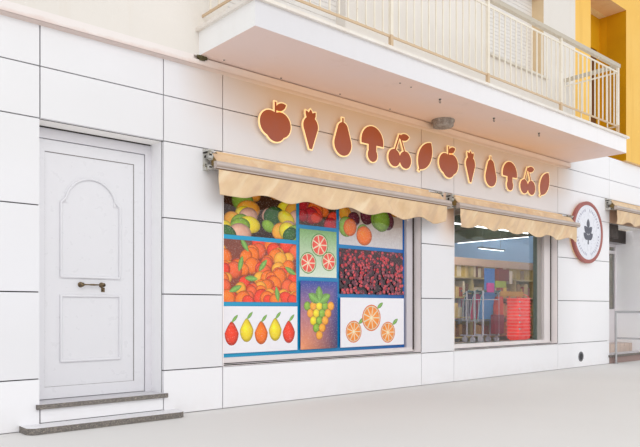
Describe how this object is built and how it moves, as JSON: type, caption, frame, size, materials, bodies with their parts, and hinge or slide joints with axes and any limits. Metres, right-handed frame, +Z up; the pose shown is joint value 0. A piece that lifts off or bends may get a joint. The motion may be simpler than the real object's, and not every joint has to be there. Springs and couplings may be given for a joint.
{
  "type": "supermarket building",
  "caption": "Two-storey town building with a clad shop front, two shop windows under awnings, a raised street door, a signboard of plain shapes and a balcony over it.",
  "frame": {"origin": "middle of the bottom of the whole building, balcony and copings included", "axes": "+X to the right along the street front, +Y from the street into the building, +Z up"},
  "size_m": [12.78, 10.04, 7.45],
  "materials": {
    "floor_stone": "satin floor tiles",
    "render_pale": "painted render",
    "masonry": "dark joint behind the cladding",
    "cladding": "semi-gloss white panels",
    "lining": "satin",
    "white_lacquer": "semi-gloss",
    "brass": "aged",
    "granite": "flamed granite",
    "clear_glass": "clear",
    "printed_film": "printed film",
    "awning_cloth": "woven acrylic",
    "awning_metal": "painted aluminium",
    "sign_acrylic": "lit acrylic",
    "sign_brown": "satin",
    "sign_disc": "satin",
    "dark_plastic": "matt",
    "lamp_plastic": "satin",
    "stainless": "brushed",
    "render_white": "painted render",
    "edge_tile": "matt tile",
    "railing_paint": "cream paint",
    "render_cream": "painted render",
    "render_yellow": "painted render",
    "render_ochre": "painted render",
    "dark_wood": "varnished",
    "roofing": "gravel",
    "coping_stone": "honed",
    "shutter_slats": "satin",
    "grey_steel": "satin",
    "light_case": "white",
    "trolley_steel": "bright",
    "red_plastic": "gloss"
  },
  "bodies": {
    "building": {"shop_floor": "floor_stone", "lobby_floor": "floor_stone", "party_wall_left": "render_pale", "party_wall_right": "render_pale", "rear_wall": "render_pale", "front_piers": "masonry", "sill_walls": "masonry", "front_lintel": "masonry", "cladding_base_row": "cladding", "cladding_tall_rows": "cladding", "cladding_top_rows": "cladding", "window_linings": "lining", "door_frame": "white_lacquer", "door_steps": "granite", "window_frames": "white_lacquer", "window_glass": "clear_glass", "window_film": "printed_film", "awning_left_cloth": "awning_cloth", "awning_left_frame": "awning_metal", "awning_right_cloth": "awning_cloth", "awning_right_frame": "awning_metal", "awning_entrance_cloth": "awning_cloth", "awning_entrance_frame": "awning_metal", "sign_bodies": "sign_acrylic", "sign_faces": "sign_brown", "round_sign": "sign_disc", "vent_sleeve": "dark_plastic", "balcony_lamp": "lamp_plastic", "entrance_screen": "white_lacquer", "entrance_glass": "clear_glass", "entrance_steps": "granite", "entrance_handrail": "stainless", "balcony_slab": "render_white", "balcony_nosing": "edge_tile", "railing_front": "railing_paint", "railing_returns": "railing_paint", "upper_front_wall": "render_cream", "string_course": "render_cream", "wing_wall": "render_yellow", "loggia_walls": "render_ochre", "loggia_door": "dark_wood", "upper_floor_slab": "floor_stone", "roof_slab": "roofing", "roof_coping": "coping_stone", "front_shutters": "shutter_slats", "rear_shutters": "shutter_slats", "window_sills": "coping_stone", "rear_door": "grey_steel", "ceiling_lights": "light_case", "trolley_row": "trolley_steel", "basket_stack": "red_plastic"},
    "street_door": {"door_leaf": "white_lacquer", "door_handle": "brass"}
  },
  "joints": [
    {"name": "street_door_hinge", "type": "hinge", "parent": "building", "child": "street_door", "pos_m": [-4.707, -3.722, 0.211], "axis": [0, 0, -1], "range_deg": [0, 100]}
  ]
}
